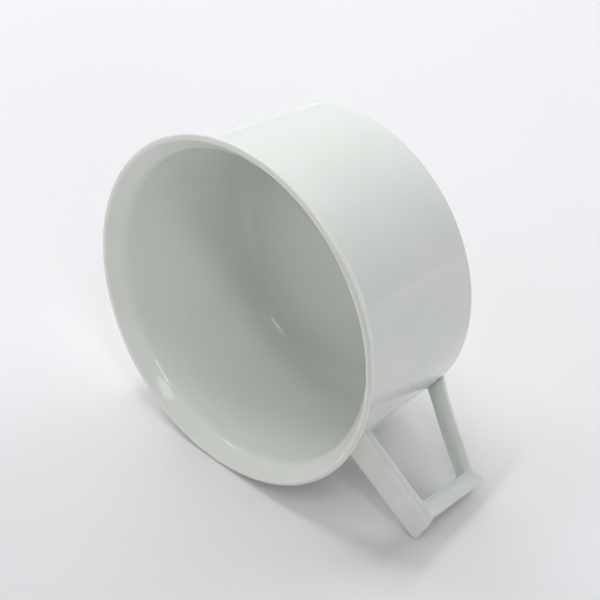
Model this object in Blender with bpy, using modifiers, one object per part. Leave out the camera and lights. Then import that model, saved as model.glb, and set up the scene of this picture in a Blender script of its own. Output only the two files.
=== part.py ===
"""Shaving mug: a wide, low porcelain cup with a flared lip and an angular strap handle.

The cup is turned from one profile. The handle is a flat strap of three straight runs,
an upper arm, a grip and a lower arm, and it narrows towards the foot. A thin bed of
slip joins each arm to the wall of the cup.

Metres. The cup stands on its foot ring at z = 0, its axis is upright and the handle points
to -X. The pieces are modelled about the cup's axis and hang on an empty, which puts the
middle of the mug's length at the origin. A place in the upright plane of the handle is
written (r, z), with r the distance from the cup's axis.
"""

import math

import bmesh
import bpy
from mathutils import Matrix, Vector

# Cup
RIM_RADIUS = 0.0550
CUP_HEIGHT = 0.0537
FOOT_RADIUS = 0.0470
WALL_TAPER = math.radians(5.5)
WALL_THICKNESS = 0.0026
FLOOR_THICKNESS = 0.0042
FLOOR_CORNER_RADIUS = 0.0060

# Lip
LIP_FLARE = math.radians(47.0)
LIP_THICKNESS = 0.0022
LIP_CREASE_RADIUS = 0.0035
LIP_NECK_RADIUS = 0.0035

# Foot
FOOT_EDGE_RADIUS = 0.0014
FOOT_RING_WIDTH = 0.0045
FOOT_RECESS_DEPTH = 0.0012
FOOT_RECESS_RADIUS = 0.0010

# Handle, side view
HANDLE_REACH = 0.0838
UPPER_ARM_HEIGHT = 0.0402
UPPER_ARM_DROP = math.radians(5.3)
UPPER_ARM_THICKNESS = 0.0030
UPPER_ARM_OVERHANG = 0.0015
UPPER_ARM_END_SLOPE = math.radians(22.0)
LOWER_ARM_HEIGHT = 0.0009
LOWER_ARM_RISE = math.radians(17.5)
LOWER_ARM_THICKNESS = 0.0030
GRIP_THICKNESS = 0.0062
GRIP_LEAN = math.radians(4.2)
GRIP_TAPER = math.radians(1.4)
HEEL_LENGTH = 0.0038
HEEL_DROP = math.radians(31.0)
FINGER_CORNER_RADIUS = 0.0018
HEEL_CORNER_RADIUS = 0.0016

# Handle, strap section
STRAP_WIDTH_TOP = 0.0122
STRAP_WIDTH_FOOT = 0.0054
STRAP_EDGE_RADIUS = 0.0013
GRIP_CORNER_RADIUS = 0.0025

# Slip joints
SLIP_THICKNESS = 0.0008
SLIP_FILLET = 0.0006
SLIP_FOOT_CLEARANCE = 0.0004
JOINT_GAP = 0.0003

# Fineness of the round shapes
TURN_STEPS = 72
ARC_STEP = math.radians(18.0)
EDGE_SEGMENTS = 3
GRIP_CORNER_SEGMENTS = 4
MERGE_DISTANCE = 0.00001

# Colours of the fired ware
GLAZE_WHITE = (0.80, 0.82, 0.79, 1.0)
HANDLE_WHITE = (0.79, 0.81, 0.78, 1.0)
SLIP_WHITE = (0.78, 0.79, 0.76, 1.0)


def remove_scene_objects():
    """Empty the scene before the mug is modelled."""
    for old in list(bpy.data.objects):
        bpy.data.objects.remove(old, do_unlink=True)


def new_collection(name):
    """Make a collection under the scene's own."""
    collection = bpy.data.collections.new(name)
    bpy.context.scene.collection.children.link(collection)
    return collection


def glazed_material(name, colour, roughness):
    """White ware: a pale, non-metallic Principled BSDF."""
    material = bpy.data.materials.new(name)
    material.use_nodes = True
    shader = material.node_tree.nodes["Principled BSDF"]
    shader.inputs["Base Color"].default_value = colour
    shader.inputs["Roughness"].default_value = roughness
    shader.inputs["Metallic"].default_value = 0.0
    return material


def new_object(name, data, collection):
    """Put a mesh, a curve or, with no data, an empty into a collection."""
    placed = bpy.data.objects.new(name, data)
    collection.objects.link(placed)
    return placed


def wall_radius(z):
    """Radius of the outer wall of the cup at height z."""
    return FOOT_RADIUS + z * math.tan(WALL_TAPER)


def wall_radius_outside(z, distance):
    """Radius at height z of the cone that lies a distance outside the wall."""
    return wall_radius(z) + distance / math.cos(WALL_TAPER)


def direction(angle):
    """Unit vector in the (r, z) plane, at an angle above the r axis."""
    return Vector((math.cos(angle), math.sin(angle)))


def left_of(vector):
    """The vector turned a quarter turn to its left."""
    return Vector((-vector.y, vector.x))


def crossing(point_a, along_a, point_b, along_b):
    """The point where two lines in the (r, z) plane cross."""
    offset = point_b - point_a
    share = offset.cross(along_b) / along_a.cross(along_b)
    return point_a + along_a * share


def rounded_corner(before, corner, after, radius):
    """Points of the arc that rounds one corner of a path."""
    back = (before - corner).normalized()
    ahead = (after - corner).normalized()
    half_angle = back.angle(ahead) / 2.0
    setback = radius / math.tan(half_angle)
    start = corner + back * setback
    end = corner + ahead * setback
    centre = corner + (back + ahead).normalized() * (radius / math.sin(half_angle))
    sweep = math.pi - 2.0 * half_angle
    steps = max(1, math.ceil(sweep / ARC_STEP))
    turn = (start - centre).angle_signed(end - centre)
    points = []
    for step in range(steps + 1):
        spoke = (start - centre).copy()
        spoke.rotate(Matrix.Rotation(-turn * step / steps, 2))
        points.append(centre + spoke)
    return points


def rounded_path(corners, closed):
    """A path through (point, radius) corners; a radius of zero leaves a corner sharp."""
    points = []
    count = len(corners)
    for index, (corner, radius) in enumerate(corners):
        is_end = not closed and index in (0, count - 1)
        if is_end or radius == 0.0:
            points.append(corner)
            continue
        before = corners[index - 1][0]
        after = corners[(index + 1) % count][0]
        points.extend(rounded_corner(before, corner, after, radius))
    return points


def cup_profile():
    """Half section of the cup, from the middle of its floor over the lip to its underside."""
    wall_up = direction(math.pi / 2.0 - WALL_TAPER)
    flare_up = direction(math.pi / 2.0 - LIP_FLARE)
    lip_radius = LIP_THICKNESS / 2.0
    lip_centre = Vector((RIM_RADIUS - lip_radius, CUP_HEIGHT - lip_radius))
    lip_side = left_of(flare_up) * lip_radius
    lip_end = lip_centre + flare_up * lip_radius

    outer_foot = Vector((FOOT_RADIUS, 0.0))
    inner_wall = outer_foot + left_of(wall_up) * WALL_THICKNESS
    floor_middle = Vector((0.0, FLOOR_THICKNESS))
    floor_corner = crossing(floor_middle, Vector((1.0, 0.0)), inner_wall, wall_up)
    crease = crossing(inner_wall, wall_up, lip_centre + lip_side, flare_up)
    neck = crossing(outer_foot, wall_up, lip_centre - lip_side, flare_up)
    ring_inside = Vector((FOOT_RADIUS - FOOT_RING_WIDTH, 0.0))
    recess_slope = Vector((-FOOT_RECESS_DEPTH, FOOT_RECESS_DEPTH))

    return rounded_path(
        [
            (floor_middle, 0.0),
            (floor_corner, FLOOR_CORNER_RADIUS),
            (crease, LIP_CREASE_RADIUS),
            (lip_end + lip_side, lip_radius),
            (lip_end - lip_side, lip_radius),
            (neck, LIP_NECK_RADIUS),
            (outer_foot, FOOT_EDGE_RADIUS),
            (ring_inside, FOOT_RECESS_RADIUS),
            (ring_inside + recess_slope, FOOT_RECESS_RADIUS),
            (Vector((0.0, FOOT_RECESS_DEPTH)), 0.0),
        ],
        closed=False,
    )


def turned(name, profile, closed, collection):
    """Turn a profile of (r, z) points about the Z axis."""
    bm = bmesh.new()
    verts = [bm.verts.new((point.x, 0.0, point.y)) for point in profile]
    for start, end in zip(verts, verts[1:]):
        bm.edges.new((start, end))
    if closed:
        bm.edges.new((verts[-1], verts[0]))
    mesh = bpy.data.meshes.new(name)
    bm.to_mesh(mesh)
    bm.free()
    body = new_object(name, mesh, collection)
    screw = body.modifiers.new("turn", "SCREW")
    screw.axis = "Z"
    screw.steps = TURN_STEPS
    screw.render_steps = TURN_STEPS
    screw.use_merge_vertices = True
    screw.merge_threshold = MERGE_DISTANCE
    screw.use_smooth_shade = True
    return body


def handle_lines():
    """The straight edges of the handle in side view, as (point, direction) pairs."""
    top_along = direction(-UPPER_ARM_DROP)
    top_root = Vector((wall_radius(UPPER_ARM_HEIGHT), UPPER_ARM_HEIGHT))
    bottom_along = direction(LOWER_ARM_RISE)
    bottom_root = Vector((wall_radius(LOWER_ARM_HEIGHT), LOWER_ARM_HEIGHT))
    grip_along = direction(math.pi / 2.0 - GRIP_LEAN)
    grip_inside_along = direction(math.pi / 2.0 - GRIP_LEAN + GRIP_TAPER)
    tip = crossing(top_root, top_along, Vector((HANDLE_REACH, 0.0)), Vector((0.0, 1.0)))
    grip_top = tip - Vector((UPPER_ARM_OVERHANG, 0.0))
    heel_shift = Vector((HEEL_LENGTH, -HEEL_LENGTH * math.tan(HEEL_DROP)))
    heel_tip = crossing(grip_top, grip_along, bottom_root + heel_shift, bottom_along)
    return {
        "top": (top_root, top_along),
        "finger_top": (top_root - left_of(top_along) * UPPER_ARM_THICKNESS, top_along),
        "bottom": (bottom_root, bottom_along),
        "finger_bottom": (bottom_root + left_of(bottom_along) * LOWER_ARM_THICKNESS, bottom_along),
        "arm_end": (tip, direction(math.pi / 2.0 - UPPER_ARM_END_SLOPE)),
        "grip_outside": (grip_top, grip_along),
        "grip_inside": (grip_top + left_of(grip_along) * GRIP_THICKNESS, grip_inside_along),
        "heel": (heel_tip, direction(-HEEL_DROP)),
        "root": (Vector((wall_radius(0.0) - WALL_THICKNESS, 0.0)), Vector((0.0, 1.0))),
    }


def handle_outline():
    """Side view of the handle; its roots run on into the wall, where they are cut off."""
    lines = handle_lines()

    def corner(one, other):
        return crossing(*lines[one], *lines[other])

    return rounded_path(
        [
            (corner("root", "top"), 0.0),
            (corner("arm_end", "top"), 0.0),
            (corner("arm_end", "grip_outside"), 0.0),
            (corner("grip_outside", "heel"), 0.0),
            (corner("bottom", "heel"), HEEL_CORNER_RADIUS),
            (corner("root", "bottom"), 0.0),
            (corner("root", "finger_bottom"), 0.0),
            (corner("grip_inside", "finger_bottom"), FINGER_CORNER_RADIUS),
            (corner("grip_inside", "finger_top"), FINGER_CORNER_RADIUS),
            (corner("root", "finger_top"), 0.0),
        ],
        closed=True,
    )


def strap_width(z):
    """Width of the strap at height z: it narrows evenly from the upper arm to the foot."""
    slope = (STRAP_WIDTH_TOP - STRAP_WIDTH_FOOT) / (UPPER_ARM_HEIGHT - LOWER_ARM_HEIGHT)
    return STRAP_WIDTH_FOOT + slope * (z - LOWER_ARM_HEIGHT)


def extruded_outline(name, outline, half_width):
    """Mesh of a side-view outline, standing in the XZ plane and given its width along Y."""
    curve = bpy.data.curves.new(name, "CURVE")
    curve.dimensions = "2D"
    curve.fill_mode = "BOTH"
    curve.extrude = half_width
    spline = curve.splines.new("POLY")
    spline.points.add(len(outline) - 1)
    for point, place in zip(spline.points, outline):
        point.co = (-place.x, place.y, 0.0, 1.0)
    spline.use_cyclic_u = True
    drawn = new_object(name, curve, bpy.context.scene.collection)
    bpy.context.view_layer.update()
    evaluated = drawn.evaluated_get(bpy.context.evaluated_depsgraph_get())
    mesh = bpy.data.meshes.new_from_object(evaluated)
    bpy.data.objects.remove(drawn, do_unlink=True)
    bpy.data.curves.remove(curve)
    mesh.transform(Matrix.Rotation(math.pi / 2.0, 4, "X"))
    mesh.name = name
    return mesh


def narrow_to_strap(bm, half_width):
    """Give each height of the handle its own width of strap."""
    for vert in bm.verts:
        vert.co.y *= strap_width(vert.co.z) / (2.0 * half_width)


def round_grip_corners(bm):
    """Round the two upright outer edges of the grip and of the upper arm's end."""
    lines = handle_lines()

    def is_on(vert, line):
        point, along = lines[line]
        offset = Vector((-vert.co.x, vert.co.z)) - point
        return abs(offset.cross(along)) < MERGE_DISTANCE

    upright = []
    for edge in bm.edges:
        one, other = edge.verts
        same_side = one.co.y * other.co.y > 0.0
        outside = any(
            is_on(one, line) and is_on(other, line) for line in ("arm_end", "grip_outside")
        )
        if same_side and outside:
            upright.append(edge)
    bmesh.ops.bevel(
        bm,
        geom=upright,
        offset=GRIP_CORNER_RADIUS,
        offset_type="OFFSET",
        affect="EDGES",
        segments=GRIP_CORNER_SEGMENTS,
        profile=0.5,
        material=-1,
    )


def build_handle(collection, cutter):
    """The strap handle, rounded along its edges and cut to the wall at both roots."""
    half_width = STRAP_WIDTH_TOP / 2.0
    mesh = extruded_outline("handle", handle_outline(), half_width)
    bm = bmesh.new()
    bm.from_mesh(mesh)
    bmesh.ops.remove_doubles(bm, verts=bm.verts, dist=MERGE_DISTANCE)
    bmesh.ops.dissolve_limit(bm, angle_limit=0.001, verts=bm.verts, edges=bm.edges)
    narrow_to_strap(bm, half_width)
    round_grip_corners(bm)
    bmesh.ops.recalc_face_normals(bm, faces=bm.faces)
    bm.to_mesh(mesh)
    bm.free()
    handle = new_object("handle", mesh, collection)
    edges = handle.modifiers.new("edges", "BEVEL")
    edges.width = STRAP_EDGE_RADIUS
    edges.segments = EDGE_SEGMENTS
    edges.limit_method = "ANGLE"
    edges.angle_limit = math.radians(40.0)
    roots = handle.modifiers.new("roots", "BOOLEAN")
    roots.operation = "DIFFERENCE"
    roots.object = cutter
    mesh.shade_smooth()
    mesh.set_sharp_from_angle(angle=math.radians(35.0))
    return handle


def build_joint_cutter(collection):
    """Turned cutter that ends the arms of the handle at the outside of the slip."""
    reach = JOINT_GAP + SLIP_THICKNESS + JOINT_GAP
    top = CUP_HEIGHT
    bottom = -FLOOR_THICKNESS
    profile = [
        Vector((0.0, top)),
        Vector((wall_radius_outside(top, reach), top)),
        Vector((wall_radius_outside(bottom, reach), bottom)),
        Vector((0.0, bottom)),
    ]
    return turned("cutter_joint_face", profile, False, collection)


def build_slip_band(collection):
    """Turned band that the slip joints are cut from; it follows the outside of the wall."""
    top = CUP_HEIGHT
    bottom = SLIP_FOOT_CLEARANCE
    outside = JOINT_GAP + SLIP_THICKNESS
    profile = [
        Vector((wall_radius_outside(top, outside), top)),
        Vector((wall_radius_outside(bottom, outside), bottom)),
        Vector((wall_radius_outside(bottom, JOINT_GAP), bottom)),
        Vector((wall_radius_outside(top, JOINT_GAP), top)),
    ]
    return turned("cutter_slip_band", profile, True, collection)


def build_slip_joint(name, face, along, thickness, collection, band):
    """Bed of slip under one arm: a block that flares towards the wall, kept inside the band.

    face is the arm's outer face at the wall, along its direction away from the wall.
    """
    inwards = -left_of(along) if along.y < 0.0 else left_of(along)
    middle = face + inwards * (thickness / 2.0)
    half_length = SLIP_THICKNESS + 2.0 * JOINT_GAP
    flare = SLIP_FILLET / SLIP_THICKNESS
    bm = bmesh.new()
    bmesh.ops.create_cube(bm, size=2.0)
    for vert in bm.verts:
        depth = vert.co.x * half_length
        grown = flare * max(0.0, SLIP_THICKNESS - depth)
        across = vert.co.z * (thickness / 2.0 + grown)
        place = middle + along * depth + inwards * across
        width = vert.co.y * (strap_width(middle.y) / 2.0 + grown)
        vert.co = (-place.x, width, place.y)
    bmesh.ops.recalc_face_normals(bm, faces=bm.faces)
    mesh = bpy.data.meshes.new(name)
    bm.to_mesh(mesh)
    bm.free()
    joint = new_object(name, mesh, collection)
    bed = joint.modifiers.new("bed", "BOOLEAN")
    bed.operation = "INTERSECT"
    bed.object = band
    return joint


def build_axis(collection):
    """Empty on the cup's axis; it brings the middle of the mug's length to the origin."""
    axis = new_object("cup_axis", None, collection)
    axis.location.x = (HANDLE_REACH - RIM_RADIUS) / 2.0
    return axis


def main():
    """Model the mug."""
    remove_scene_objects()
    mug = new_collection("shaving_mug")
    cutters = new_collection("shaving_mug_cutters")

    joint_cutter = build_joint_cutter(cutters)
    slip_band = build_slip_band(cutters)
    for cutter in (joint_cutter, slip_band):
        cutter.hide_render = True
        cutter.display_type = "WIRE"

    cup = turned("cup_body", cup_profile(), False, mug)
    handle = build_handle(mug, joint_cutter)
    lines = handle_lines()
    upper_joint = build_slip_joint(
        "upper_slip_joint", *lines["top"], UPPER_ARM_THICKNESS, mug, slip_band
    )
    lower_joint = build_slip_joint(
        "lower_slip_joint", *lines["bottom"], LOWER_ARM_THICKNESS, mug, slip_band
    )
    axis = build_axis(mug)
    for piece in (cup, handle, upper_joint, lower_joint, joint_cutter, slip_band):
        piece.parent = axis

    cup.data.materials.append(glazed_material("cup_glaze", GLAZE_WHITE, 0.12))
    handle.data.materials.append(glazed_material("handle_glaze", HANDLE_WHITE, 0.14))
    upper_joint.data.materials.append(glazed_material("upper_slip", SLIP_WHITE, 0.30))
    lower_joint.data.materials.append(glazed_material("lower_slip", SLIP_WHITE, 0.30))


main()
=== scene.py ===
"""Glazed looks for the shaving mug, laid out as a Blender add-on and run as a script.

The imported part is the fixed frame: metres, the cup upright, its handle towards -X.
A place in the upright plane of the handle is written (r, z), with r the distance from
the cup's axis. The mug is photographed lying on its side, so the stage is what tilts:
the lamps and the camera are set out over a level floor, and floor, lamps and camera are
then turned together into the mug's frame.
"""

import math

import bmesh
import bpy
from bpy.props import FloatProperty, FloatVectorProperty, IntProperty, PointerProperty
from mathutils import Euler, Matrix, Vector


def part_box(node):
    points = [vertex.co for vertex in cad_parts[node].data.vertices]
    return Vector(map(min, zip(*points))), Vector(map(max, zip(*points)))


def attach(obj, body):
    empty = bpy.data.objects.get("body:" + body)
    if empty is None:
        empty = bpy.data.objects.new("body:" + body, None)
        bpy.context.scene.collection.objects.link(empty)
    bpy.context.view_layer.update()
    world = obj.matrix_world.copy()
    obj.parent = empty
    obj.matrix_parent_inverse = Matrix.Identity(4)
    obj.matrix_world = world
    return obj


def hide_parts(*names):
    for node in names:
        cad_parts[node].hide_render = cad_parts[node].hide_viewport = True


bl_info = {
    "name": "Shaving Mug Looks",
    "version": (1, 0, 0),
    "blender": (4, 5, 0),
    "location": "View3D > Sidebar > Shaving Mug",
    "description": "Dresses the packed shaving mug in glazed porcelain and sets its stage",
    "category": "Object",
}

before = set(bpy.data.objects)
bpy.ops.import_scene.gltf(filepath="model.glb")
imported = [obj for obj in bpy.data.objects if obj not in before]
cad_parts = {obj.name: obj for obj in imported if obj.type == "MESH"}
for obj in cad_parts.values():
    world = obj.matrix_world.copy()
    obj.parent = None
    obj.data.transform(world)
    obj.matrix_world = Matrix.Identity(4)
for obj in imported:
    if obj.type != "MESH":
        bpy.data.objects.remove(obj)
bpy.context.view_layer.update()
CUP_LOW, CUP_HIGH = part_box("cup_body")
CUP_AXIS_X = (CUP_LOW.x + CUP_HIGH.x) / 2.0
MILLIMETRE = 0.001


def length(name, description, default):
    """A size in metres that a user may change."""
    return FloatProperty(name=name, description=description, default=default, unit="LENGTH")


def angle(name, description, degrees):
    """An angle that a user may change."""
    return FloatProperty(
        name=name, description=description, default=math.radians(degrees), unit="ROTATION"
    )


def colour(name, description, default):
    """A colour that a user may change."""
    return FloatVectorProperty(
        name=name, description=description, default=default, subtype="COLOR", min=0.0, max=1.0
    )


class CupSizes(bpy.types.PropertyGroup):
    """Sizes of the turned cup."""

    rim_radius: length("Rim Radius", "Radius of the lip's edge", (CUP_HIGH.x - CUP_LOW.x) / 2.0)
    height: length("Height", "Height of the lip above the table", CUP_HIGH.z)
    foot_radius: length("Foot Radius", "Radius of the wall at the table", 0.0470)
    wall_taper: angle("Wall Taper", "Slope of the wall away from upright", 5.5)
    wall_thickness: length("Wall", "Thickness of the wall", 0.0026)
    floor_thickness: length("Floor", "Thickness of the floor", 0.0042)
    floor_round: length("Floor Round", "Radius between the floor and the wall", 0.0075)
    lip_flare: angle("Lip Flare", "Slope of the lip away from upright", 43.0)
    lip_curl: angle("Lip Curl", "How much steeper the lip starts and flatter it ends", 2.5)
    lip_thickness: length("Lip", "Width of the lip's edge", 0.0020)
    edge_tilt: angle("Edge Tilt", "How far the lip's edge is turned up from square", 15.0)
    edge_inside: length("Edge Inside", "Radius of the inner corner of the lip's edge", 0.0011)
    edge_outside: length("Edge Outside", "Radius of the outer corner of the lip's edge", 0.0007)
    curl_round: length("Curl Round", "Radius of the curl inside the lip", 0.0300)
    crease_round: length("Crease Round", "Radius inside, where the lip flares", 0.0042)
    neck_round: length("Neck Round", "Radius outside, where the lip flares", 0.0035)
    foot_edge: length("Foot Edge", "Radius at the edge of the foot", 0.0014)
    ring_width: length("Ring Width", "Width of the foot ring", 0.0045)
    recess_depth: length("Recess", "Depth of the underside inside the ring", 0.0012)
    recess_round: length("Recess Round", "Radius at the edges of the recess", 0.0010)
    turn_steps: IntProperty(
        name="Turn Steps", description="Steps of the turned shape", default=320, min=24
    )


class HandleSizes(bpy.types.PropertyGroup):
    """Sizes of the strap handle."""

    reach: length("Reach", "Distance from the cup's axis to the upper arm's tip", 0.0838)
    upper_height: length("Upper Height", "Height of the upper arm's top at the wall", 0.0402)
    upper_drop: angle("Upper Drop", "Slope of the upper arm", 5.3)
    upper_thickness: length("Upper Arm", "Thickness of the upper arm", 0.0030)
    overhang: length("Overhang", "How far the upper arm stands out over the grip", 0.0015)
    end_slope: angle("End Slope", "Slope of the upper arm's end", 22.0)
    end_skew: angle("End Skew", "Turn of the upper arm's hand-cut end", 7.0)
    lower_height: length("Lower Height", "Height of the lower arm's underside at the wall", 0.0007)
    lower_rise: angle("Lower Rise", "Slope of the lower arm", 17.5)
    lower_thickness: length("Lower Arm", "Thickness of the lower arm", 0.0033)
    grip_thickness: length("Grip", "Thickness of the grip", 0.0062)
    grip_lean: angle("Grip Lean", "Lean of the outside of the grip", 4.2)
    grip_taper: angle("Grip Taper", "Difference of lean between the grip's two sides", 1.4)
    heel_length: length("Heel", "Length of the heel's sloping underside", 0.0038)
    heel_drop: angle("Heel Drop", "Slope of the heel's underside", 31.0)
    width_top: length("Width At Top", "Width of the strap at the upper arm", 0.0122)
    width_foot: length("Width At Foot", "Width of the strap at the lower arm's root", 0.0054)
    finger_round: length("Finger Round", "Radius in the corners of the finger gap", 0.0018)
    upper_root_run: length("Upper Root", "Length over which the upper root flares", 0.0022)
    lower_root_run: length("Lower Root", "Length over which the lower root flares", 0.0075)
    root_flare: length("Root Flare", "How far the lower root flares at the wall", 0.0009)
    lower_bend: length("Lower Bend", "How far the lower arm bends down at the wall", 0.0008)
    bend_run: length("Bend Run", "Length over which the lower arm bends", 0.0150)
    lower_spread: length("Lower Spread", "How much wider the lower arm is at its root", 0.0014)
    spread_run: length("Spread Run", "Length over which the lower arm spreads", 0.0260)
    root_sink: length("Root Sink", "How deep the roots reach into the wall", 0.0010)
    tip_round: length("Tip Round", "Radius at the tip of the upper arm", 0.0011)
    shoulder_round: length("Shoulder Round", "Radius where the arm's end meets the grip", 0.0060)
    heel_round: length("Heel Round", "Radius at the heel", 0.0007)
    notch_round: length("Notch Round", "Radius where the heel meets the lower arm", 0.0018)


class GlazeColours(bpy.types.PropertyGroup):
    """Colours of the fired ware, and a lighter colour painted as highlight lines along edges."""

    glaze: colour("Glaze", "Glaze of even thickness", (0.808, 0.827, 0.778))
    pooled: colour("Pooled Glaze", "Glaze where it ran together", (0.735, 0.785, 0.735))
    # Painted highlight: a lighter colour laid as lines along the strap's edges and the corners of
    # the lip's edge.
    thin_and_highlight: colour("Painted Edge Highlight", "Lighter colour painted along edges as a highlight", (0.89, 0.89, 0.845))
    rim: colour("Rim", "Glaze over the lip's edge, with clay showing through", (0.765, 0.757, 0.702))
    biscuit: colour("Biscuit", "Bare clay of the foot ring", (0.78, 0.74, 0.67))


class StageSettings(bpy.types.PropertyGroup):
    """Floor, light and camera, set out on a level floor with the camera towards -Y."""

    mug_place: FloatVectorProperty(
        name="Mug Place",
        description="Place of the middle of the foot above the floor",
        default=(0.016766, -0.029236, 0.046373),
        subtype="TRANSLATION",
        unit="LENGTH",
    )
    mug_turn: FloatVectorProperty(
        name="Mug Turn",
        description="Turn of the lying mug on the floor",
        default=(math.radians(-79.4011), math.radians(-33.7729), math.radians(129.9561)),
        subtype="EULER",
    )
    camera_place: FloatVectorProperty(
        name="Camera Place",
        description="Place of the camera",
        default=(0.0, -0.719722, 0.638961),
        subtype="TRANSLATION",
        unit="LENGTH",
    )
    camera_tilt: angle("Camera Tilt", "Tilt of the camera up from straight down", 48.40)
    camera_lens: FloatProperty(
        name="Lens", description="Focal length in millimetres", default=180.0, min=10.0
    )
    floor_colour: colour("Floor", "Colour of the pale floor", (0.85, 0.85, 0.86))
    floor_reach: length("Floor Reach", "Half the width of the floor", 0.80)
    floor_back: length("Floor Back", "How far the floor goes on behind the mug", 0.25)
    ground_colour: colour("Ground", "Colour of the background past the floor", (0.88, 0.88, 0.89))
    room_colour: colour("Room", "Colour of the room's light and of the lamps", (0.975, 0.985, 1.0))
    room_light: FloatProperty(
        name="Room Light", description="Strength of the room's even light", default=0.11
    )
    glow_turn: angle("Glow Turn", "Direction of the brightest part of the room in the glaze", 110.0)
    glow_height: angle("Glow Height", "Height of the brightest part of the room in the glaze", 20.0)
    glow_low: FloatProperty(
        name="Glow Low",
        description="Strength of the room in the glaze, at its darkest",
        default=0.28,
    )
    glow_high: FloatProperty(
        name="Glow High",
        description="Strength of the room in the glaze, at its brightest",
        default=0.86,
    )
    lamp_turn: angle("Lamp Turn", "Direction on the floor that the lamps' sides follow", 53.0)


def new_piece(name, bm):
    """Turn a bmesh into a smooth mesh object at the origin."""
    bmesh.ops.recalc_face_normals(bm, faces=bm.faces)
    mesh = bpy.data.meshes.new(name)
    bm.to_mesh(mesh)
    bm.free()
    mesh.shade_smooth()
    piece = bpy.data.objects.new(name, mesh)
    bpy.context.scene.collection.objects.link(piece)
    return piece


def direction(slope):
    """Unit vector in the (r, z) plane, at an angle above the r axis."""
    return Vector((math.cos(slope), math.sin(slope)))


def left_of(vector):
    """The vector turned a quarter turn to its left."""
    return Vector((-vector.y, vector.x))


def crossing(line_a, line_b):
    """The point where two (point, direction) lines of the (r, z) plane cross."""
    point_a, along_a = line_a
    point_b, along_b = line_b
    share = (point_b - point_a).cross(along_b) / along_a.cross(along_b)
    return point_a + along_a * share


def wall_radius(z, cup):
    """Outer radius of the wall at a height."""
    return cup.foot_radius + z * math.tan(cup.wall_taper)


# Cup

# Rounding of the section: the turn of one step, the least steps, and the gap that is merged
BEVEL_STEP = math.radians(7.5)
LEAST_SEGMENTS = 4
MERGE_DISTANCE = 0.000002
# Glaze of the cup: how far it thins at the inner corner of the lip and how far in it thickens, the
# slack on that side of the edge, the band over the edge and its fade, how near a corner of the edge
# the painted highlight line reaches and how fully it is painted, where the pool's middle lies, as a
# share of the floor's rounding, how far it reaches, how far inside the rim it stays and how far down
# the floor
LIP_THINNESS = 0.6
LIP_FADE = 0.0060
LIP_SLACK = 0.0006
EDGE_BAND = 3.0
EDGE_FADE = 7.0
HIGHLIGHT_REACH = 0.0005
HIGHLIGHT_FULLNESS = 1.6
POOL_MIDDLE = 0.3
POOL_REACH = 0.009
POOL_CLEARANCE = 0.006
POOL_BOTTOM = 0.99


def lip_edges(cup):
    """The inner and the outer corner of the lip's edge, before they are rounded."""
    facing = direction(math.pi / 2.0 - cup.lip_flare - cup.lip_curl + cup.edge_tilt)
    side = left_of(facing)
    inner_run = cup.edge_inside / math.tan(math.pi / 4.0 + cup.edge_tilt / 2.0)
    outer_run = cup.edge_outside / math.tan(math.pi / 4.0 + (cup.lip_curl - cup.edge_tilt) / 2.0)
    outer_start = cup.rim_radius - cup.edge_outside * (1.0 - facing.x)
    inner_start = cup.height - cup.edge_inside * (1.0 - facing.y)
    inner = Vector((
        outer_start + side.x * (cup.lip_thickness - outer_run),
        inner_start + side.y * inner_run,
    ))
    return inner, inner - side * cup.lip_thickness


def cup_corners(cup):
    """Corners of the cup's half section with their radii, from floor over lip to underside."""
    wall_up = direction(math.pi / 2.0 - cup.wall_taper)
    flare_up = direction(math.pi / 2.0 - cup.lip_flare)
    curl_start = direction(math.pi / 2.0 - cup.lip_flare + cup.lip_curl)
    curl_end = direction(math.pi / 2.0 - cup.lip_flare - cup.lip_curl)
    inner_edge, outer_edge = lip_edges(cup)
    outer_foot = Vector((cup.foot_radius, 0.0))
    inner_wall = outer_foot + left_of(wall_up) * cup.wall_thickness
    floor_line = (Vector((0.0, cup.floor_thickness)), Vector((1.0, 0.0)))
    ring_inside = Vector((cup.foot_radius - cup.ring_width, 0.0))
    recess = ring_inside + Vector((-cup.recess_depth, cup.recess_depth))
    crease = crossing((inner_wall, wall_up), (inner_edge, flare_up))
    return [
        (floor_line[0], 0.0),
        (crossing(floor_line, (inner_wall, wall_up)), cup.floor_round),
        (crease, cup.crease_round),
        (crossing((crease, curl_start), (inner_edge, curl_end)), cup.curl_round),
        (inner_edge, cup.edge_inside),
        (outer_edge, cup.edge_outside),
        (crossing((outer_foot, wall_up), (outer_edge, flare_up)), cup.neck_round),
        (outer_foot, cup.foot_edge),
        (ring_inside, cup.recess_round),
        (recess, cup.recess_round),
        (Vector((0.0, cup.recess_depth)), 0.0),
    ]


def round_wire(bm, corners):
    """Draw a path in the XZ plane and round its corners with vertex bevels."""
    verts = [bm.verts.new((corner[0].x, 0.0, corner[0].y)) for corner in corners]
    for start, end in zip(verts, verts[1:]):
        bm.edges.new((start, end))
    for index, (point, radius) in enumerate(corners):
        if radius == 0.0:
            continue
        back = (corners[index - 1][0] - point).normalized()
        ahead = (corners[index + 1][0] - point).normalized()
        half = back.angle(ahead) / 2.0
        bmesh.ops.bevel(
            bm,
            geom=[verts[index]],
            offset=radius / math.tan(half),
            offset_type="OFFSET",
            affect="VERTICES",
            segments=max(LEAST_SEGMENTS, round((math.pi - 2.0 * half) / BEVEL_STEP)),
            profile=0.5,
            material=-1,
            clamp_overlap=False,
        )


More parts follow.
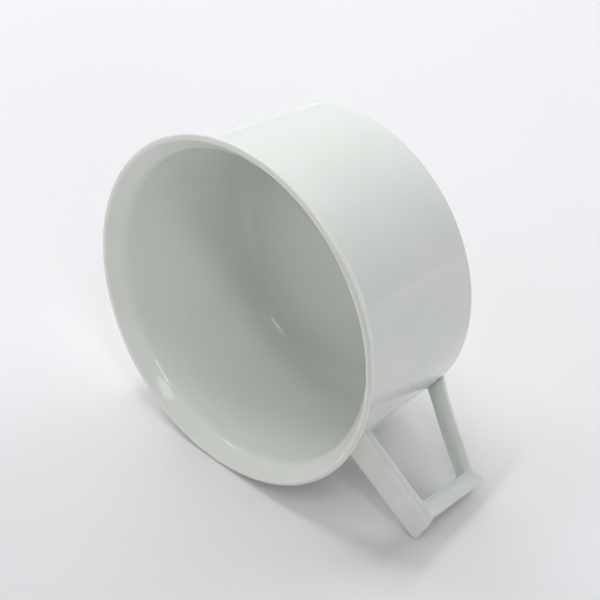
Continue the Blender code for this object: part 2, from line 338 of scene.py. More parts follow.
class MUG_OT_cup(bpy.types.Operator):
    """Turn the glazed cup from its half section"""

    bl_idname = "mug.cup"
    bl_label = "Glazed Cup"

    def execute(self, context):
        cup = context.scene.mug_cup
        bm = bmesh.new()
        round_wire(bm, cup_corners(cup))
        bmesh.ops.spin(
            bm,
            geom=bm.verts[:] + bm.edges[:],
            cent=(0.0, 0.0, 0.0),
            axis=(0.0, 0.0, 1.0),
            dvec=(0.0, 0.0, 0.0),
            angle=2.0 * math.pi,
            steps=cup.turn_steps,
            use_merge=True,
            use_duplicate=False,
        )
        bmesh.ops.remove_doubles(bm, verts=bm.verts, dist=MERGE_DISTANCE)
        mark_cup_glaze(bm, cup)
        bmesh.ops.translate(bm, verts=bm.verts, vec=(CUP_AXIS_X, 0.0, 0.0))
        piece = new_piece("glazed_cup", bm)
        piece.data.materials.append(cup_material(context.scene.mug_colours))
        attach(piece, "root")
        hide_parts("cup_body")
        return {"FINISHED"}


def mark_cup_glaze(bm, cup):
    """Mark where the glaze thins, on the lip and most on its edge, the painted highlight lines on
    the edge's two corners, and where it pools, round the floor."""
    thin_and_highlight = bm.verts.layers.float.new("thin_glaze_and_highlight")
    corner_highlight = bm.verts.layers.float.new("painted_corner_highlight")
    pooled = bm.verts.layers.float.new("pooled_glaze")
    inner_edge, outer_edge = lip_edges(cup)
    middle = (inner_edge + outer_edge) / 2.0
    inwards = (inner_edge - outer_edge).normalized()
    pool_radius = cup.foot_radius - cup.wall_thickness - cup.floor_round * POOL_MIDDLE
    pool_height = cup.floor_thickness + cup.floor_round * POOL_MIDDLE
    for vert in bm.verts:
        radius = math.hypot(vert.co.x, vert.co.y)
        height = vert.co.z
        place = Vector((radius, height))
        band = EDGE_BAND - EDGE_FADE * (place - middle).length / cup.lip_thickness
        lip = LIP_THINNESS - (inner_edge.x - radius) / LIP_FADE
        inside_lip = inwards.dot(place - inner_edge) > -LIP_SLACK
        vert[thin_and_highlight] = min(1.0, max(0.0, band, lip if inside_lip else 0.0))
        # Painted highlight: a lighter line along each corner of the lip's edge.
        near = min((place - inner_edge).length, (place - outer_edge).length)
        vert[corner_highlight] = min(1.0, max(0.0, HIGHLIGHT_FULLNESS - near / HIGHLIGHT_REACH))
        over_floor = height > cup.floor_thickness * POOL_BOTTOM
        inside = over_floor and radius < cup.rim_radius - POOL_CLEARANCE
        gap = math.hypot(radius - pool_radius, height - pool_height)
        vert[pooled] = max(0.0, 1.0 - gap / POOL_REACH) if inside else 0.0


# Handle

# Steps of the arcs in the strap's side view
TIP_STEPS = 6
SHOULDER_STEPS = 4
HEEL_STEPS = 6
NOTCH_STEPS = 5
FINGER_STEPS = 8
# Rings along the strap, run by run
UPPER_ARM_RINGS = 14
TIP_RINGS = 14
SHOULDER_RINGS = 3
GRIP_RINGS = 16
HEEL_RINGS = 16
LOWER_ARM_RINGS = 16
# Share of the grip's inside that lies across from the shoulder
SHOULDER_SHARE = 0.06
# How uneven the skewed edges are, and the largest shares of depth and width that are rounded
UNEVENNESS = 0.3
DEPTH_LIMIT = 0.49
WIDTH_LIMIT = 0.97
# Roots: rings, the curve of the flare, how much more it flares outside, and the sink at the wall
ROOT_STEPS = 9
ROOT_CURVE = 1.6
ROOT_LEAN = 0.4
ROOT_TOUCH = 0.03
# Glaze of the handle: the painted highlight line near its edges and its spread, as shares of the
# half width, the pool's reach at the roots, and the cut inner edges of the grip
HIGHLIGHT_LINE = 0.86
HIGHLIGHT_SPREAD = 0.16
ROOT_POOL = 0.0030
CUT_DEPTH = 0.0017
CUT_WIDTH = 0.0014
CUT_OVERRUN = 0.001
CUT_BRINK = 0.0003


def half_width(z, size):
    """Half the width of the strap at a height."""
    slope = (size.width_top - size.width_foot) / (size.upper_height - size.lower_height)
    return (size.width_foot + slope * (z - size.lower_height)) / 2.0


def handle_lines(size, cup):
    """The straight edges of the handle in side view, as (point, direction) pairs."""
    top_along = direction(-size.upper_drop)
    bottom_along = direction(size.lower_rise)
    grip_along = direction(math.pi / 2.0 - size.grip_lean)
    inside_along = direction(math.pi / 2.0 - size.grip_lean + size.grip_taper)
    top = Vector((wall_radius(size.upper_height, cup), size.upper_height))
    bottom = Vector((wall_radius(size.lower_height, cup), size.lower_height))
    tip = crossing((top, top_along), (Vector((size.reach, 0.0)), Vector((0.0, 1.0))))
    grip_top = tip - Vector((size.overhang, 0.0))
    heel_shift = Vector((size.heel_length, -size.heel_length * math.tan(size.heel_drop)))
    heel = crossing((grip_top, grip_along), (bottom + heel_shift, bottom_along))
    return {
        "top": (top, top_along),
        "finger_top": (top - left_of(top_along) * size.upper_thickness, top_along),
        "arm_end": (tip, direction(math.pi / 2.0 - size.end_slope)),
        "grip_outside": (grip_top, grip_along),
        "grip_inside": (grip_top + left_of(grip_along) * size.grip_thickness, inside_along),
        "heel": (heel, direction(-size.heel_drop)),
        "bottom": (bottom, bottom_along),
        "finger_bottom": (bottom + left_of(bottom_along) * size.lower_thickness, bottom_along),
    }


def arc(before, corner, after, radius, steps):
    """Points of the arc that rounds one corner of a path."""
    back = (before - corner).normalized()
    ahead = (after - corner).normalized()
    half = back.angle(ahead) / 2.0
    start = corner + back * (radius / math.tan(half))
    end = corner + ahead * (radius / math.tan(half))
    centre = corner + (back + ahead).normalized() * (radius / math.sin(half))
    turn = (start - centre).angle_signed(end - centre)
    points = []
    for step in range(steps + 1):
        spoke = start - centre
        spoke.rotate(Matrix.Rotation(-turn * step / steps, 2))
        points.append(centre + spoke)
    return points


def spread(path, count):
    """The path's points spaced out evenly: count + 1 points from its first to its last."""
    lengths = [(b - a).length for a, b in zip(path, path[1:])]
    total = sum(lengths)
    points = []
    for step in range(count + 1):
        rest = total * step / count
        index = 0
        while index < len(lengths) - 1 and rest > lengths[index]:
            rest -= lengths[index]
            index += 1
        share = rest / lengths[index] if lengths[index] else 0.0
        points.append(path[index].lerp(path[index + 1], min(1.0, share)))
    return points


def handle_paths(size, cup):
    """Outer and inner path of the strap, as lists of paired points from upper to lower root."""
    lines = handle_lines(size, cup)
    names = ("top", "arm_end", "grip_outside", "heel", "bottom")
    tip, shoulder, heel, notch = (
        crossing(lines[a], lines[b]) for a, b in zip(names, names[1:])
    )
    finger_top = crossing(lines["finger_top"], lines["grip_inside"])
    finger_bottom = crossing(lines["grip_inside"], lines["finger_bottom"])
    upper_root = lines["top"][0]
    lower_root = lines["bottom"][0]
    inner_upper = lines["finger_top"][0]
    inner_lower = lines["finger_bottom"][0]

    tip_arc = arc(upper_root, tip, shoulder, size.tip_round, TIP_STEPS)
    shoulder_arc = arc(tip, shoulder, heel, size.shoulder_round, SHOULDER_STEPS)
    heel_arc = arc(shoulder, heel, notch, size.heel_round, HEEL_STEPS)
    notch_arc = arc(heel, notch, lower_root, size.notch_round, NOTCH_STEPS)
    top_arc = arc(inner_upper, finger_top, finger_bottom, size.finger_round, FINGER_STEPS)
    bottom_arc = arc(finger_top, finger_bottom, inner_lower, size.finger_round, FINGER_STEPS)

    top_along = lines["top"][1]
    bottom_along = lines["bottom"][1]
    arm_stop = top_arc[0] + left_of(top_along) * size.upper_thickness
    arm_start = bottom_arc[-1] - left_of(bottom_along) * size.lower_thickness
    grip_start = top_arc[-1].lerp(bottom_arc[0], SHOULDER_SHARE)
    runs = (
        (UPPER_ARM_RINGS, [upper_root, arm_stop], [inner_upper, top_arc[0]]),
        (TIP_RINGS, [arm_stop] + tip_arc + shoulder_arc[:1], top_arc),
        (SHOULDER_RINGS, shoulder_arc, [top_arc[-1], grip_start]),
        (GRIP_RINGS, [shoulder_arc[-1], heel_arc[0]], [grip_start, bottom_arc[0]]),
        (HEEL_RINGS, heel_arc + notch_arc + [arm_start], bottom_arc),
        (LOWER_ARM_RINGS, [arm_start, lower_root], [bottom_arc[-1], inner_lower]),
    )
    outer = [upper_root]
    inner = [inner_upper]
    for count, outer_run, inner_run in runs:
        outer += spread(outer_run, count)[1:]
        inner += spread(inner_run, count)[1:]
    return outer, inner


RING_CORNER_POINTS = 8
# Any radius will do, because the first ring is set on its places at once
FIRST_RING_RADIUS = 0.01
# Share of the path, then the radii of the strap's edges: outer depth, outer width, inner depth,
# inner width, in millimetres, the share of the end's skew, and how flat the inner edges are cut
EDGE_ROUNDING = (
    (0.00, 1.1, 1.1, 1.2, 1.2, 0.0, 0.0),
    (0.18, 1.1, 1.2, 1.2, 1.3, 0.3, 0.0),
    (0.28, 2.6, 2.4, 1.6, 1.5, 1.0, 0.3),
    (0.36, 2.6, 2.4, 1.9, 1.5, 1.0, 0.7),
    (0.42, 1.6, 1.7, 1.9, 1.5, 0.7, 0.8),
    (0.60, 1.2, 1.3, 1.9, 1.5, 0.3, 0.8),
    (0.68, 1.1, 1.4, 1.8, 1.7, 0.1, 0.5),
    (0.80, 1.6, 2.3, 1.6, 3.4, 0.0, 0.0),
    (1.00, 1.6, 2.3, 1.6, 3.4, 0.0, 0.0),
)


def rounding_at(share):
    """Edge radii of the strap at a share of its path."""
    for low, high in zip(EDGE_ROUNDING, EDGE_ROUNDING[1:]):
        if share <= high[0]:
            mix = (share - low[0]) / (high[0] - low[0])
            return [a + (b - a) * mix for a, b in zip(low[1:], high[1:])]
    return EDGE_ROUNDING[-1][1:]


def bent(place, size, cup):
    """A place of the strap, with the lower arm bent down towards its root."""
    if place.y > size.upper_height / 2.0:
        return place
    away = max(0.0, place.x - cup.foot_radius)
    return place - Vector((0.0, size.lower_bend * max(0.0, 1.0 - away / size.bend_run) ** 2))


def spread_at(place, size, cup):
    """How far each side of the lower arm stands out, most at its root."""
    if place.y > size.upper_height / 2.0:
        return 0.0
    share = min(1.0, max(0.0, place.x - cup.foot_radius) / size.spread_run)
    return size.lower_spread / 2.0 * (1.0 - share**2)


def ring_places(outer, inner, share, size, cup):
    """Places of one ring of the strap: a rectangle with elliptic corners, round the path."""
    outer_depth, outer_width, inner_depth, inner_width, skew, flat = rounding_at(share)
    outer, inner = bent(outer, size, cup), bent(inner, size, cup)
    depth = (inner - outer).length
    across = (inner - outer) / depth
    places = []
    corners = (
        (0.0, 1.0, outer_depth, outer_width),
        (1.0, 1.0, inner_depth, inner_width),
        (1.0, -1.0, inner_depth, inner_width),
        (0.0, -1.0, outer_depth, outer_width),
    )
    for index, (end, side, round_depth, round_width) in enumerate(corners):
        uneven = MILLIMETRE * (1.0 - UNEVENNESS * skew * side)
        round_depth = min(round_depth * uneven, depth * DEPTH_LIMIT)
        for step in range(RING_CORNER_POINTS):
            part = step / (RING_CORNER_POINTS - 1)
            if index % 2 == 0:
                part = 1.0 - part
            turn = math.pi / 2.0 * part
            cut = flat * end
            from_end = round_depth * (1.0 - math.sin(turn) * (1.0 - cut) - part * cut)
            down = from_end if end == 0.0 else depth - from_end
            place = outer + across * down
            half = half_width(place.y, size) + spread_at(place, size, cup)
            round_side = min(round_width * uneven, half * WIDTH_LIMIT)
            from_side = round_side * (1.0 - math.cos(turn) * (1.0 - cut) - (1.0 - part) * cut)
            y = side * (half - from_side)
            turn_out = math.tan(size.end_skew) * skew * y * (1.0 - down / depth)
            places.append(Vector((place.x + turn_out, y, max(0.0, place.y))))
    return places


class MUG_OT_handle(bpy.types.Operator):
    """Draw the glazed strap handle ring by ring from its upper to its lower root"""

    bl_idname = "mug.handle"
    bl_label = "Glazed Handle"

    def execute(self, context):
        size = context.scene.mug_handle
        cup = context.scene.mug_cup
        rings = handle_rings(size, cup)
        bm = bmesh.new()
        circle = bmesh.ops.create_circle(bm, segments=len(rings[0]), radius=FIRST_RING_RADIUS)
        ring = circle["verts"]
        place_ring(ring, rings[0])
        bmesh.ops.edgeloop_fill(bm, edges=bm.edges[:])
        edges = bm.edges[:]
        for places in rings[1:]:
            ring, edges = next_ring(bm, ring, edges, places)
        bmesh.ops.edgeloop_fill(bm, edges=edges)
        mark_handle_glaze(bm, size, cup)
        bmesh.ops.translate(bm, verts=bm.verts, vec=(CUP_AXIS_X, 0.0, 0.0))
        piece = new_piece("glazed_handle", bm)
        piece.data.materials.append(handle_material(context.scene.mug_colours))
        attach(piece, "root")
        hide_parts("handle", "upper_slip_joint", "lower_slip_joint")
        return {"FINISHED"}


def place_ring(ring, places):
    """Set a ring's vertices on their places."""
    for vert, place in zip(ring, places):
        vert.co = (-place.x, place.y, place.z)


def next_ring(bm, ring, edges, places):
    """Draw the strap out by one more ring."""
    made = bmesh.ops.extrude_edge_only(bm, edges=edges)["geom"]
    fresh = {item for item in made if isinstance(item, bmesh.types.BMVert)}
    new = [
        next(e.other_vert(vert) for e in vert.link_edges if e.other_vert(vert) in fresh)
        for vert in ring
    ]
    place_ring(new, places)
    new_edges = [
        item
        for item in made
        if isinstance(item, bmesh.types.BMEdge) and all(v in fresh for v in item.verts)
    ]
    return new, new_edges


def handle_rings(size, cup):
    """All rings of the strap, with flared roots that reach into the wall."""
    outer, inner = handle_paths(size, cup)
    last = len(outer) - 1
    rings = [
        ring_places(a, b, index / last, size, cup)
        for index, (a, b) in enumerate(zip(outer, inner))
        if (a - outer[0]).length > size.upper_root_run
        and (a - outer[-1]).length > size.lower_root_run
    ]
    upper = root_rings(outer[0], inner[0], outer[1], 0.0, size.upper_root_run, size, cup)
    lower = root_rings(outer[-1], inner[-1], outer[-2], 1.0, size.lower_root_run, size, cup)
    return upper[::-1] + rings + lower


def root_rings(outer, inner, neighbour, share, run, size, cup):
    """Rings of one root: it flares out over its run and ends inside the clay of the wall."""
    outwards = (neighbour - outer).normalized()
    across = Vector((inner.x - outer.x, 0.0, inner.y - outer.y)).normalized()
    rings = []
    for step in range(ROOT_STEPS + 2):
        away = max(0.0, 1.0 - step / ROOT_STEPS)
        shift = outwards * (run * away)
        grow = size.root_flare * run / size.lower_root_run * (1.0 - away) ** ROOT_CURVE
        places = ring_places(outer + shift, inner + shift, share, size, cup)
        middle = sum(places, Vector()) / len(places)
        for place in places:
            spoke = (place - middle).normalized()
            place += spoke * grow * (1.0 - ROOT_LEAN - ROOT_LEAN * spoke.dot(across))
            place.z = max(0.0, place.z)
            if step >= ROOT_STEPS:
                sink = size.root_sink * (ROOT_TOUCH if step == ROOT_STEPS else 1.0)
                place.x = math.sqrt((wall_radius(place.z, cup) - sink) ** 2 - place.y**2)
        rings.append(places)
    return rings


def mark_handle_glaze(bm, size, cup):
    """Mark the painted highlight lines along the strap's edges, where the glaze pools, at the roots,
    and the pooled colour on the cut inner edges of the grip, with a painted highlight line at their
    brink."""
    thin_and_highlight = bm.verts.layers.float.new("thin_glaze_and_highlight")
    pooled = bm.verts.layers.float.new("pooled_glaze")
    lines = handle_lines(size, cup)
    inside, along = lines["grip_inside"]
    low = crossing(lines["grip_inside"], lines["finger_bottom"]).y
    high = crossing(lines["grip_inside"], lines["finger_top"]).y
    for vert in bm.verts:
        half = half_width(vert.co.z, size)
        share = abs(vert.co.y) / half
        # Painted highlight: a lighter line along each edge of the strap.
        vert[thin_and_highlight] = max(0.0, 1.0 - abs(share - HIGHLIGHT_LINE) / HIGHLIGHT_SPREAD)
        gap = math.hypot(vert.co.x, vert.co.y) - wall_radius(vert.co.z, cup)
        vert[pooled] = max(0.0, 1.0 - gap / ROOT_POOL)
        depth = (inside - Vector((-vert.co.x, vert.co.z))).dot(left_of(along))
        # The cut inner edges of the grip take the pooled colour, and a painted highlight line at
        # their brink.
        cut = depth < CUT_DEPTH and half - abs(vert.co.y) < CUT_WIDTH
        if cut and low - CUT_OVERRUN < vert.co.z < high + CUT_OVERRUN:
            vert[pooled] = 1.0
            vert[thin_and_highlight] = 1.0 if depth < CUT_BRINK else 0.0


# Glaze

GLAZE_IOR = 1.52
# Tint of a pinhole, how much rougher the glaze is where it thins and on the painted highlight lines,
# the shares of the peel and of the pinholes in the ripple, and the ripple's strength and height
PIT_TINT = (0.93, 0.92, 0.89, 1.0)
THIN_ROUGHNESS = 0.04
PEEL_SHARE = 0.12
PIT_SHARE = -0.2
RIPPLE_STRENGTH = 0.04
RIPPLE_HEIGHT = 0.0006
# Bare foot ring: how far the glaze's edge wanders, between which heights it starts, and the
# roughness and darkest grain of the clay
BARE_WANDER = -0.0006
BARE_END = (0.00005, 0.00020)
CLAY_ROUGHNESS = 0.62
GRAIN_SHADE = 0.90


def glaze_coat():
    """Node group of the glaze: clouds, a tint for thinned glaze and painted highlight lines along
    edges, pools, pinholes and a faint ripple.
    """
    group = bpy.data.node_groups.new("glaze_coat", "ShaderNodeTree")
    for name in ("Glaze", "Pooled", "Rim And Highlight"):
        group.interface.new_socket(name, in_out="INPUT", socket_type="NodeSocketColor")
    for name in ("Rim And Highlight Mask", "Pool Mask"):
        group.interface.new_socket(name, in_out="INPUT", socket_type="NodeSocketFloat")
    group.interface.new_socket("Color", in_out="OUTPUT", socket_type="NodeSocketColor")
    for name in ("Roughness", "Height"):
        group.interface.new_socket(name, in_out="OUTPUT", socket_type="NodeSocketFloat")
    nodes, link = group.nodes, group.links.new
    given = nodes.new("NodeGroupInput")
    result = nodes.new("NodeGroupOutput")
    place = nodes.new("ShaderNodeTexCoord").outputs["Object"]

    clouds = noise(nodes, link, place, 34.0, 3.0)
    cloudy = ranged(nodes, link, clouds, (0.35, 0.70), (0.0, 0.45))
    pool = maths(nodes, link, "MAXIMUM", cloudy, given.outputs["Pool Mask"])
    body = mixed(nodes, link, pool, given.outputs["Glaze"], given.outputs["Pooled"])
    # This second colour is the rim's tint on the cup, and a painted highlight along the handle's
    # edges.
    streaks = noise(nodes, link, place, 160.0, 2.0)
    streaky = ranged(nodes, link, streaks, (0.30, 0.65), (0.45, 1.0))
    thin_and_highlight = maths(nodes, link, "MULTIPLY", given.outputs["Rim And Highlight Mask"], streaky)
    body = mixed(nodes, link, thin_and_highlight, body, given.outputs["Rim And Highlight"])

    pits = nodes.new("ShaderNodeTexVoronoi")
    pits.inputs["Scale"].default_value = 210.0
    link(place, pits.inputs["Vector"])
    rare = ranged(nodes, link, noise(nodes, link, place, 90.0, 0.0), (0.66, 0.76), (0.0, 1.0))
    hole = ranged(nodes, link, pits.outputs["Distance"], (0.05, 0.16), (1.0, 0.0))
    pit = maths(nodes, link, "MULTIPLY", rare, hole)
    dark = nodes.new("ShaderNodeMix")
    dark.data_type = "RGBA"
    dark.blend_type = "MULTIPLY"
    dark.inputs["B"].default_value = PIT_TINT
    link(pit, dark.inputs["Factor"])
    link(body, dark.inputs["A"])
    link(dark.outputs["Result"], result.inputs["Color"])

    gloss = ranged(nodes, link, noise(nodes, link, place, 75.0, 2.0), (0.30, 0.70), (0.03, 0.06))
    dulled = maths(nodes, link, "MULTIPLY_ADD", thin_and_highlight, THIN_ROUGHNESS, gloss)
    link(dulled, result.inputs["Roughness"])

    wave = noise(nodes, link, place, 85.0, 1.0)
    peel = noise(nodes, link, place, 420.0, 1.0)
    height = maths(nodes, link, "MULTIPLY_ADD", peel, PEEL_SHARE, wave)
    pitted = maths(nodes, link, "MULTIPLY_ADD", pit, PIT_SHARE, height)
    link(pitted, result.inputs["Height"])
    return group


def noise(nodes, link, place, scale, detail):
    """Output of a noise texture."""
    texture = nodes.new("ShaderNodeTexNoise")
    texture.inputs["Scale"].default_value = scale
    texture.inputs["Detail"].default_value = detail
    link(place, texture.inputs["Vector"])
    return texture.outputs["Fac"]


def ranged(nodes, link, value, source, target):
    """Output of a value mapped from one range to another."""
    mapped = nodes.new("ShaderNodeMapRange")
    mapped.interpolation_type = "SMOOTHSTEP"
    mapped.inputs["From Min"].default_value, mapped.inputs["From Max"].default_value = source
    mapped.inputs["To Min"].default_value, mapped.inputs["To Max"].default_value = target
    link(value, mapped.inputs["Value"])
    return mapped.outputs["Result"]


def maths(nodes, link, operation, *values):
    """Output of a maths node on sockets and numbers."""
    node = nodes.new("ShaderNodeMath")
    node.operation = operation
    for socket, value in zip(node.inputs, values):
        if isinstance(value, float):
            socket.default_value = value
        else:
            link(value, socket)
    return node.outputs["Value"]


def mixed(nodes, link, factor, first, second):
    """Output of two colours mixed by a factor."""
    node = nodes.new("ShaderNodeMix")
    node.data_type = "RGBA"
    link(factor, node.inputs["Factor"])
    link(first, node.inputs["A"])
    link(second, node.inputs["B"])
    return node.outputs["Result"]


def glazed(name, colours, thin_and_highlight):
    """Material with the glaze coat on a Principled BSDF, with its shader and its coat node."""
    material = bpy.data.materials.new(name)
    material.use_nodes = True
    nodes, link = material.node_tree.nodes, material.node_tree.links.new
    shader = nodes["Principled BSDF"]
    shader.inputs["IOR"].default_value = GLAZE_IOR
    coat = nodes.new("ShaderNodeGroup")
    coat.node_tree = bpy.data.node_groups.get("glaze_coat") or glaze_coat()
    for socket, value in (("Glaze", colours.glaze), ("Pooled", colours.pooled), ("Rim And Highlight", thin_and_highlight)):
        coat.inputs[socket].default_value = (*value, 1.0)
    for socket, layer in (("Rim And Highlight Mask", "thin_glaze_and_highlight"), ("Pool Mask", "pooled_glaze")):
        mark = nodes.new("ShaderNodeAttribute")
        mark.attribute_name = layer
        link(mark.outputs["Fac"], coat.inputs[socket])
    bump = nodes.new("ShaderNodeBump")
    bump.inputs["Strength"].default_value = RIPPLE_STRENGTH
    bump.inputs["Distance"].default_value = RIPPLE_HEIGHT
    link(coat.outputs["Height"], bump.inputs["Height"])
    link(bump.outputs["Normal"], shader.inputs["Normal"])
    link(coat.outputs["Color"], shader.inputs["Base Color"])
    link(coat.outputs["Roughness"], shader.inputs["Roughness"])
    return material, shader, coat


def cup_material(colours):
    """Glaze of the cup, with painted highlight lines on the corners of the lip's edge, and wiped off
    the foot ring.
    """
    material, shader, coat = glazed("cup_porcelain", colours, colours.rim)
    nodes, link = material.node_tree.nodes, material.node_tree.links.new
    place = nodes.new("ShaderNodeTexCoord").outputs["Object"]
    split = nodes.new("ShaderNodeSeparateXYZ")
    link(place, split.inputs["Vector"])
    wander = noise(nodes, link, place, 240.0, 2.0)
    level = maths(nodes, link, "MULTIPLY_ADD", wander, BARE_WANDER, split.outputs["Z"])
    bare = ranged(nodes, link, level, BARE_END, (1.0, 0.0))
    # Painted highlight: the lighter colour is mixed in along the corners of the lip's edge.
    corner_highlight = nodes.new("ShaderNodeAttribute")
    corner_highlight.attribute_name = "painted_corner_highlight"
    glaze_with_highlight = nodes.new("ShaderNodeMix")
    glaze_with_highlight.data_type = "RGBA"
    glaze_with_highlight.inputs["B"].default_value = (*colours.thin_and_highlight, 1.0)
    link(corner_highlight.outputs["Fac"], glaze_with_highlight.inputs["Factor"])
    link(coat.outputs["Color"], glaze_with_highlight.inputs["A"])
    grain = ranged(nodes, link, noise(nodes, link, place, 2600.0, 3.0), (0.3, 0.7), (0.0, 1.0))
    clay = nodes.new("ShaderNodeMix")
    clay.data_type = "RGBA"
    clay.inputs["A"].default_value = (*colours.biscuit, 1.0)
    clay.inputs["B"].default_value = (*(GRAIN_SHADE * part for part in colours.biscuit), 1.0)
    link(grain, clay.inputs["Factor"])
    ware = mixed(nodes, link, bare, glaze_with_highlight.outputs["Result"], clay.outputs["Result"])
    link(ware, shader.inputs["Base Color"])
    rough = nodes.new("ShaderNodeMix")
    rough.inputs["B"].default_value = CLAY_ROUGHNESS
    link(bare, rough.inputs["Factor"])
    link(coat.outputs["Roughness"], rough.inputs["A"])
    link(rough.outputs["Result"], shader.inputs["Roughness"])
    return material


def handle_material(colours):
    """Glaze of the handle, with the painted highlight colour along its edges."""
    return glazed("handle_porcelain", colours, colours.thin_and_highlight)[0]


# Stage

SENSOR_WIDTH = 36.0
# How squarely a direction faces the middle of the glow, where the glow is lowest and highest
GLOW_RANGE = (-0.2, 1.0)


class MUG_OT_stage(bpy.types.Operator):
    """Set the pale floor, the lamps and the camera round the lying mug"""

    bl_idname = "mug.stage"
    bl_label = "Stage"

    def execute(self, context):
        settings = context.scene.mug_stage
        turn = Euler(settings.mug_turn, "XYZ").to_matrix().to_4x4()
        lying = Matrix.Translation(settings.mug_place) @ turn
        to_mug = Matrix.Translation((CUP_AXIS_X, 0.0, 0.0)) @ lying.inverted()
        context.scene.view_settings.view_transform = "Standard"
        build_floor(settings, to_mug)
        build_lamps(settings, to_mug)
        build_room(context.scene, settings, to_mug)
        build_camera(context.scene, settings, to_mug)
        return {"FINISHED"}


def build_floor(settings, to_mug):
    """The pale floor the mug lies on; from below it is clear, so that the mug shows."""
    bm = bmesh.new()
    bmesh.ops.create_grid(bm, x_segments=1, y_segments=1, size=settings.floor_reach)
    for vert in bm.verts:
        vert.co.y = min(vert.co.y, settings.floor_back)
    bmesh.ops.transform(bm, matrix=to_mug, verts=bm.verts)
    mesh = bpy.data.meshes.new("pale_floor")
    bm.to_mesh(mesh)
    bm.free()
    floor = bpy.data.objects.new("pale_floor", mesh)
    bpy.context.scene.collection.objects.link(floor)
    material = bpy.data.materials.new("floor_paper")
    material.use_nodes = True
    nodes, link = material.node_tree.nodes, material.node_tree.links.new
    shader = nodes["Principled BSDF"]
    shader.inputs["Base Color"].default_value = (*settings.floor_colour, 1.0)
    shader.inputs["Roughness"].default_value = 0.85
    shader.inputs["Specular IOR Level"].default_value = 0.1
    side = nodes.new("ShaderNodeNewGeometry")
    clear = nodes.new("ShaderNodeBsdfTransparent")
    blend = nodes.new("ShaderNodeMixShader")
    link(side.outputs["Backfacing"], blend.inputs["Fac"])
    link(shader.outputs["BSDF"], blend.inputs[1])
    link(clear.outputs["BSDF"], blend.inputs[2])
    link(blend.outputs["Shader"], nodes["Material Output"].inputs["Surface"])
    mesh.materials.append(material)


# Name, azimuth and elevation in degrees as seen from the mug, distance, size along the lamp turn
# and across it, the light that a white card facing the lamp at the mug sends back, with 1 for
# white, and whether the lamp itself shows in the glaze
LAMPS = (
    ("key_strip", 130.0, 74.0, 1.10, 0.30, 0.06, 0.18, False),
    ("top_panel", 107.0, 70.0, 0.90, 0.60, 0.60, 0.07, False),
    ("back_panel", 100.0, 50.0, 0.90, 0.90, 0.90, 0.10, False),
    ("low_back_panel", 107.0, 27.0, 1.00, 0.67, 0.67, 0.32, False),
    ("left_panel", 150.0, 50.0, 0.90, 0.90, 0.90, 0.13, False),
    ("low_left_panel", 193.0, 24.0, 1.30, 0.80, 0.80, 0.12, False),
    ("right_panel", 38.0, 27.0, 1.30, 0.87, 0.87, 0.38, False),
    ("front_panel", 300.0, 50.0, 0.90, 0.90, 0.90, 0.04, False),
    ("low_front_panel", 290.0, 18.0, 1.30, 0.70, 0.70, 0.13, False),
    ("high_front_panel", 240.0, 55.0, 0.90, 0.60, 0.60, 0.04, False),
    ("front_strip", 284.0, 58.0, 1.30, 0.14, 0.39, 0.085, True),
    ("left_window", 243.0, 50.0, 1.30, 0.26, 0.26, 0.033, True),
    ("back_glint", 153.0, 56.0, 1.20, 0.10, 0.30, 0.05, True),
)


def sky(around, up):
    """Unit vector towards a place on the sky over the level floor."""
    return Vector((math.cos(up) * math.cos(around), math.cos(up) * math.sin(around), math.sin(up)))


def add_lamp(name, azimuth, elevation, distance, along, across, white, shows, settings, to_mug):
    """A soft lamp on the sky over the level floor, with one side along the lamp turn."""
    light = bpy.data.lights.new(name, "AREA")
    light.shape = "RECTANGLE"
    light.size = along
    light.size_y = across
    light.color = settings.room_colour
    light.energy = white * (math.pi * distance) ** 2
    lamp = bpy.data.objects.new(name, light)
    lamp.visible_glossy = shows
    bpy.context.scene.collection.objects.link(lamp)
    away = sky(math.radians(azimuth), math.radians(elevation))
    side = Vector((math.cos(settings.lamp_turn), math.sin(settings.lamp_turn), 0.0))
    side = (side - away * side.dot(away)).normalized()
    turn = Matrix((side, away.cross(side), away)).transposed().to_4x4()
    lamp.matrix_world = to_mug @ Matrix.Translation(away * distance) @ turn


def build_lamps(settings, to_mug):
    """The strip over the mug that draws its shadow, the soft panels and the small windows."""
    for lamp in LAMPS:
        add_lamp(*lamp, settings, to_mug)


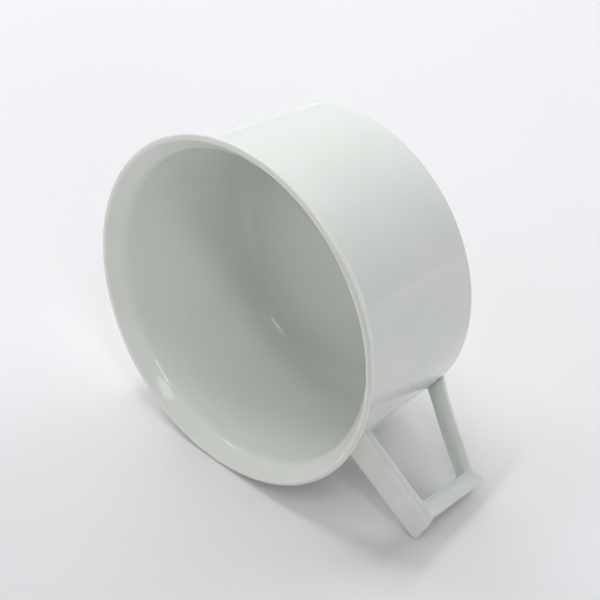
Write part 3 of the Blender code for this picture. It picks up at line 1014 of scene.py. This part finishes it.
def build_room(scene, settings, to_mug):
    """Even light of the room, the glow that the glaze mirrors and the ground the camera sees."""
    world = bpy.data.worlds.new("pale_room")
    world.use_nodes = True
    scene.world = world
    nodes, link = world.node_tree.nodes, world.node_tree.links.new
    light = nodes["Background"]
    light.inputs["Color"].default_value = (*settings.room_colour, 1.0)
    light.inputs["Strength"].default_value = settings.room_light
    glow = nodes.new("ShaderNodeBackground")
    glow.inputs["Color"].default_value = (*settings.room_colour, 1.0)
    facing = nodes.new("ShaderNodeVectorMath")
    facing.operation = "DOT_PRODUCT"
    facing.inputs[1].default_value = to_mug.to_3x3() @ sky(settings.glow_turn, settings.glow_height)
    link(nodes.new("ShaderNodeTexCoord").outputs["Generated"], facing.inputs[0])
    brightness = (settings.glow_low, settings.glow_high)
    shine = ranged(nodes, link, facing.outputs["Value"], GLOW_RANGE, brightness)
    link(shine, glow.inputs["Strength"])
    ground = nodes.new("ShaderNodeBackground")
    ground.inputs["Color"].default_value = (*settings.ground_colour, 1.0)
    ground.inputs["Strength"].default_value = 1.0
    path = nodes.new("ShaderNodeLightPath")
    shiny = nodes.new("ShaderNodeMixShader")
    link(path.outputs["Is Glossy Ray"], shiny.inputs["Fac"])
    link(light.outputs["Background"], shiny.inputs[1])
    link(glow.outputs["Background"], shiny.inputs[2])
    blend = nodes.new("ShaderNodeMixShader")
    link(path.outputs["Is Camera Ray"], blend.inputs["Fac"])
    link(shiny.outputs["Shader"], blend.inputs[1])
    link(ground.outputs["Background"], blend.inputs[2])
    link(blend.outputs["Shader"], nodes["World Output"].inputs["Surface"])


def build_camera(scene, settings, to_mug):
    """Camera at the photograph's viewing angle."""
    lens = bpy.data.cameras.new("photo_camera")
    lens.lens = settings.camera_lens
    lens.sensor_width = SENSOR_WIDTH
    camera = bpy.data.objects.new("photo_camera", lens)
    scene.collection.objects.link(camera)
    tilt = Euler((settings.camera_tilt, 0.0, 0.0), "XYZ").to_matrix().to_4x4()
    camera.matrix_world = to_mug @ Matrix.Translation(settings.camera_place) @ tilt
    scene.camera = camera


# Add-on


class MUG_PT_panel(bpy.types.Panel):
    """Sizes, colours and build buttons of the mug"""

    bl_idname = "MUG_PT_panel"
    bl_label = "Shaving Mug"
    bl_space_type = "VIEW_3D"
    bl_region_type = "UI"
    bl_category = "Shaving Mug"

    def draw(self, context):
        layout = self.layout
        for name, operators in (
            ("mug_cup", (MUG_OT_cup,)),
            ("mug_handle", (MUG_OT_handle,)),
            ("mug_colours", ()),
            ("mug_stage", (MUG_OT_stage,)),
        ):
            box = layout.box()
            group = getattr(context.scene, name)
            for key in group.__annotations__:
                box.prop(group, key)
            for operator in operators:
                box.operator(operator.bl_idname)


GROUPS = {
    "mug_cup": CupSizes,
    "mug_handle": HandleSizes,
    "mug_colours": GlazeColours,
    "mug_stage": StageSettings,
}
CLASSES = (*GROUPS.values(), MUG_OT_cup, MUG_OT_handle, MUG_OT_stage, MUG_PT_panel)


def register():
    """Register the classes and give the scene its settings."""
    for cls in CLASSES:
        bpy.utils.register_class(cls)
    for name, group in GROUPS.items():
        setattr(bpy.types.Scene, name, PointerProperty(type=group))


def unregister():
    """Take the settings and the classes away again."""
    for name in GROUPS:
        delattr(bpy.types.Scene, name)
    for cls in reversed(CLASSES):
        bpy.utils.unregister_class(cls)


def main():
    """Build the mug and its stage."""
    register()
    bpy.ops.mug.cup()
    bpy.ops.mug.handle()
    bpy.ops.mug.stage()


if __name__ == "__main__":
    main()
